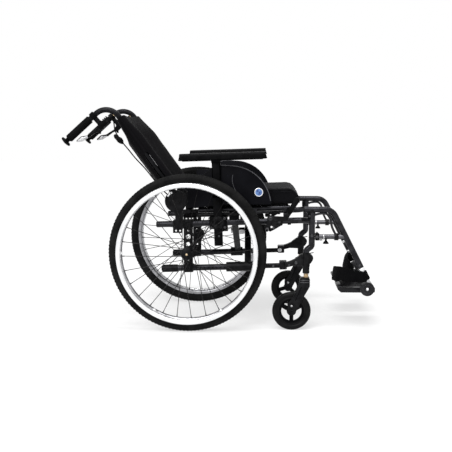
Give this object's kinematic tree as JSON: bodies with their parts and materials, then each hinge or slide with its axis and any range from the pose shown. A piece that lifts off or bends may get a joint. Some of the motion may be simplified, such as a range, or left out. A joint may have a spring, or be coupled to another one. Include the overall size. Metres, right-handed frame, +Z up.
{
  "type": "reclining wheelchair",
  "caption": "Folding manual wheelchair with a gas-spring reclining back, spoked driving wheels with handrims, castors, height-adjustable armrests and swing-away footrests.",
  "frame": {"origin": "the middle of the bounding box, on the floor under the chair", "axes": "+X towards the sitter's front, +Y towards the sitter's left, +Z up"},
  "size_m": [1.2274, 0.658, 0.8633],
  "materials": {
    "frame_paint": "satin metallic",
    "black_plastic": "matt",
    "soft_plastic": "soft matt",
    "black_metal": "satin",
    "bright_metal": "bright satin",
    "steel": "bright satin",
    "tyre_rubber": "matt",
    "seat_cloth": "woven",
    "plate_grey": "matt"
  },
  "bodies": {
    "frame_left": {"armrest_post_left": "black_plastic", "axle_plate_left": "black_metal", "brake_body_left": "black_metal", "castor_arm_left": "black_metal", "gas_spring_left": "black_metal", "lower_tube_left": "frame_paint", "recline_bracket_left": "black_metal", "side_guard_left": "black_plastic", "upper_frame_left": "frame_paint", "wheel_axle_left": "black_metal"},
    "brace_left": {"cross_arm_left": "black_metal", "cushion": "seat_cloth", "seat_sling": "seat_cloth"},
    "brace_right": {"cross_arm_right": "black_metal", "cross_bolt": "steel"},
    "frame_right": {"armrest_post_right": "black_plastic", "axle_plate_right": "black_metal", "brake_body_right": "black_metal", "castor_arm_right": "black_metal", "gas_spring_right": "black_metal", "lower_tube_right": "frame_paint", "recline_bracket_right": "black_metal", "side_guard_right": "black_plastic", "upper_frame_right": "frame_paint", "wheel_axle_right": "black_metal"},
    "armrest_left": {"armrest_pad_left": "soft_plastic"},
    "armrest_right": {"armrest_pad_right": "soft_plastic"},
    "back_left": {"back_cane_left": "frame_paint", "back_upholstery": "seat_cloth", "cable_left": "soft_plastic", "grip_left": "soft_plastic", "lever_housing_left": "black_plastic"},
    "back_right": {"back_cane_right": "frame_paint", "cable_right": "soft_plastic", "grip_right": "soft_plastic", "lever_housing_right": "black_plastic"},
    "brake_left": {"brake_lever_left": "black_metal"},
    "brake_right": {"brake_lever_right": "black_metal"},
    "castor_left": {"castor_wheel_left": "tyre_rubber"},
    "castor_right": {"castor_wheel_right": "tyre_rubber"},
    "footplate_left": {"footplate_left": "plate_grey", "heel_loop_left": "seat_cloth"},
    "footplate_right": {"footplate_right": "plate_grey", "heel_loop_right": "seat_cloth"},
    "footrest_left": {"footrest_tube_left": "steel"},
    "footrest_right": {"footrest_tube_right": "steel"},
    "gas_rod_left": {"gas_rod_left": "steel"},
    "gas_rod_right": {"gas_rod_right": "steel"},
    "hanger_left": {"hanger_left": "frame_paint"},
    "hanger_right": {"hanger_right": "frame_paint"},
    "lever_left": {"handle_lever_left": "steel"},
    "lever_right": {"handle_lever_right": "steel"},
    "swivel_left": {"castor_fork_left": "black_metal"},
    "swivel_right": {"castor_fork_right": "black_metal"},
    "wheel_left": {"handrim_left": "bright_metal", "spoked_wheel_left": "bright_metal", "tyre_left": "tyre_rubber"},
    "wheel_right": {"handrim_right": "bright_metal", "spoked_wheel_right": "bright_metal", "tyre_right": "tyre_rubber"}
  },
  "joints": [
    {"name": "fold", "type": "hinge", "parent": "frame_left", "child": "brace_left", "pos_m": [0.06171, 0.205, 0.241], "axis": [-0.9995, 0, -0.0332], "range_deg": [0, 45], "deforming": ["cushion", "seat_sling", "back_upholstery"]},
    {"name": "brace_cross", "type": "hinge", "parent": "brace_left", "child": "brace_right", "pos_m": [0.0833, 0, 0.35995], "axis": [-0.9995, 0, -0.0332], "range_deg": [-90, 0]},
    {"name": "brace_foot", "type": "hinge", "parent": "brace_right", "child": "frame_right", "pos_m": [0.11271, -0.205, 0.24269], "axis": [-0.9995, 0, -0.0332], "range_deg": [0, 45]},
    {"name": "wheel_spin_left", "type": "hinge", "parent": "frame_left", "child": "wheel_left", "pos_m": [-0.11829, 0.28, 0.305], "axis": [0, 1, 0], "continuous": true},
    {"name": "castor_swivel_left", "type": "hinge", "parent": "frame_left", "child": "swivel_left", "pos_m": [0.33871, 0.245, 0.2077], "axis": [0, 0, 1], "continuous": true},
    {"name": "castor_roll_left", "type": "hinge", "parent": "swivel_left", "child": "castor_left", "pos_m": [0.28371, 0.245, 0.075], "axis": [0, 1, 0], "continuous": true},
    {"name": "armrest_height_left", "type": "slide", "parent": "frame_left", "child": "armrest_left", "axis": [-0.0332, 0, 0.9995], "range_m": [0, 0.09]},
    {"name": "recline_left", "type": "hinge", "parent": "frame_left", "child": "back_left", "pos_m": [-0.16828, 0.2015, 0.5], "axis": [0, 1, 0], "range_deg": [0, 30]},
    {"name": "handle_lever_left", "type": "hinge", "parent": "back_left", "child": "lever_left", "pos_m": [-0.46716, 0.2015, 0.77636], "axis": [0, 1, 0], "range_deg": [0, 5], "stiffness_Nm_per_rad": 2, "springref_deg": -5.73},
    {"name": "gas_rod_left", "type": "slide", "parent": "frame_left", "child": "gas_rod_left", "axis": [-0.9995, 0, -0.0332], "range_m": [0, 0.032]},
    {"name": "hanger_swing_left", "type": "hinge", "parent": "frame_left", "child": "hanger_left", "pos_m": [0.35972, 0.245, 0.472], "axis": [0, 0, 1], "range_deg": [0, 90]},
    {"name": "footrest_length_left", "type": "slide", "parent": "hanger_left", "child": "footrest_left", "axis": [0.4539, 0, -0.8911], "range_m": [0, 0.05]},
    {"name": "footplate_flip_left", "type": "hinge", "parent": "footrest_left", "child": "footplate_left", "pos_m": [0.57571, 0.183, 0.1475], "axis": [-1, 0, 0], "range_deg": [0, 90], "deforming": ["heel_loop_left"]},
    {"name": "brake_left", "type": "hinge", "parent": "frame_left", "child": "brake_left", "pos_m": [0.19972, 0.245, 0.436], "axis": [0, 1, 0], "range_deg": [0, 12]},
    {"name": "wheel_spin_right", "type": "hinge", "parent": "frame_right", "child": "wheel_right", "pos_m": [-0.11829, -0.28, 0.305], "axis": [0, 1, 0], "continuous": true},
    {"name": "castor_swivel_right", "type": "hinge", "parent": "frame_right", "child": "swivel_right", "pos_m": [0.33871, -0.245, 0.2077], "axis": [0, 0, 1], "continuous": true},
    {"name": "castor_roll_right", "type": "hinge", "parent": "swivel_right", "child": "castor_right", "pos_m": [0.28371, -0.245, 0.075], "axis": [0, 1, 0], "continuous": true},
    {"name": "armrest_height_right", "type": "slide", "parent": "frame_right", "child": "armrest_right", "axis": [-0.0332, 0, 0.9995], "range_m": [0, 0.09]},
    {"name": "recline_right", "type": "hinge", "parent": "frame_right", "child": "back_right", "pos_m": [-0.16828, -0.2015, 0.5], "axis": [0, 1, 0], "range_deg": [0, 30]},
    {"name": "handle_lever_right", "type": "hinge", "parent": "back_right", "child": "lever_right", "pos_m": [-0.46716, -0.2015, 0.77636], "axis": [0, 1, 0], "range_deg": [0, 5], "stiffness_Nm_per_rad": 2, "springref_deg": -5.73},
    {"name": "gas_rod_right", "type": "slide", "parent": "frame_right", "child": "gas_rod_right", "axis": [-0.9995, 0, -0.0332], "range_m": [0, 0.032]},
    {"name": "hanger_swing_right", "type": "hinge", "parent": "frame_right", "child": "hanger_right", "pos_m": [0.35972, -0.245, 0.472], "axis": [0, 0, -1], "range_deg": [0, 90]},
    {"name": "footrest_length_right", "type": "slide", "parent": "hanger_right", "child": "footrest_right", "axis": [0.4539, 0, -0.8911], "range_m": [0, 0.05]},
    {"name": "footplate_flip_right", "type": "hinge", "parent": "footrest_right", "child": "footplate_right", "pos_m": [0.57571, -0.183, 0.1475], "axis": [1, 0, 0], "range_deg": [0, 90], "deforming": ["heel_loop_right"]},
    {"name": "brake_right", "type": "hinge", "parent": "frame_right", "child": "brake_right", "pos_m": [0.19972, -0.245, 0.436], "axis": [0, 1, 0], "range_deg": [0, 12]}
  ],
  "couplings": [
    {"joint": "brace_cross", "follows": "fold", "ratio": -2},
    {"joint": "brace_foot", "follows": "fold", "ratio": 1},
    {"joint": "footplate_flip_left", "follows": "fold", "ratio": 2},
    {"joint": "gas_rod_left", "follows": "recline_left", "m_per_rad": 0.059811},
    {"joint": "footplate_flip_right", "follows": "fold", "ratio": 2},
    {"joint": "gas_rod_right", "follows": "recline_left", "m_per_rad": 0.059811},
    {"joint": "recline_right", "follows": "recline_left", "ratio": 1}
  ]
}
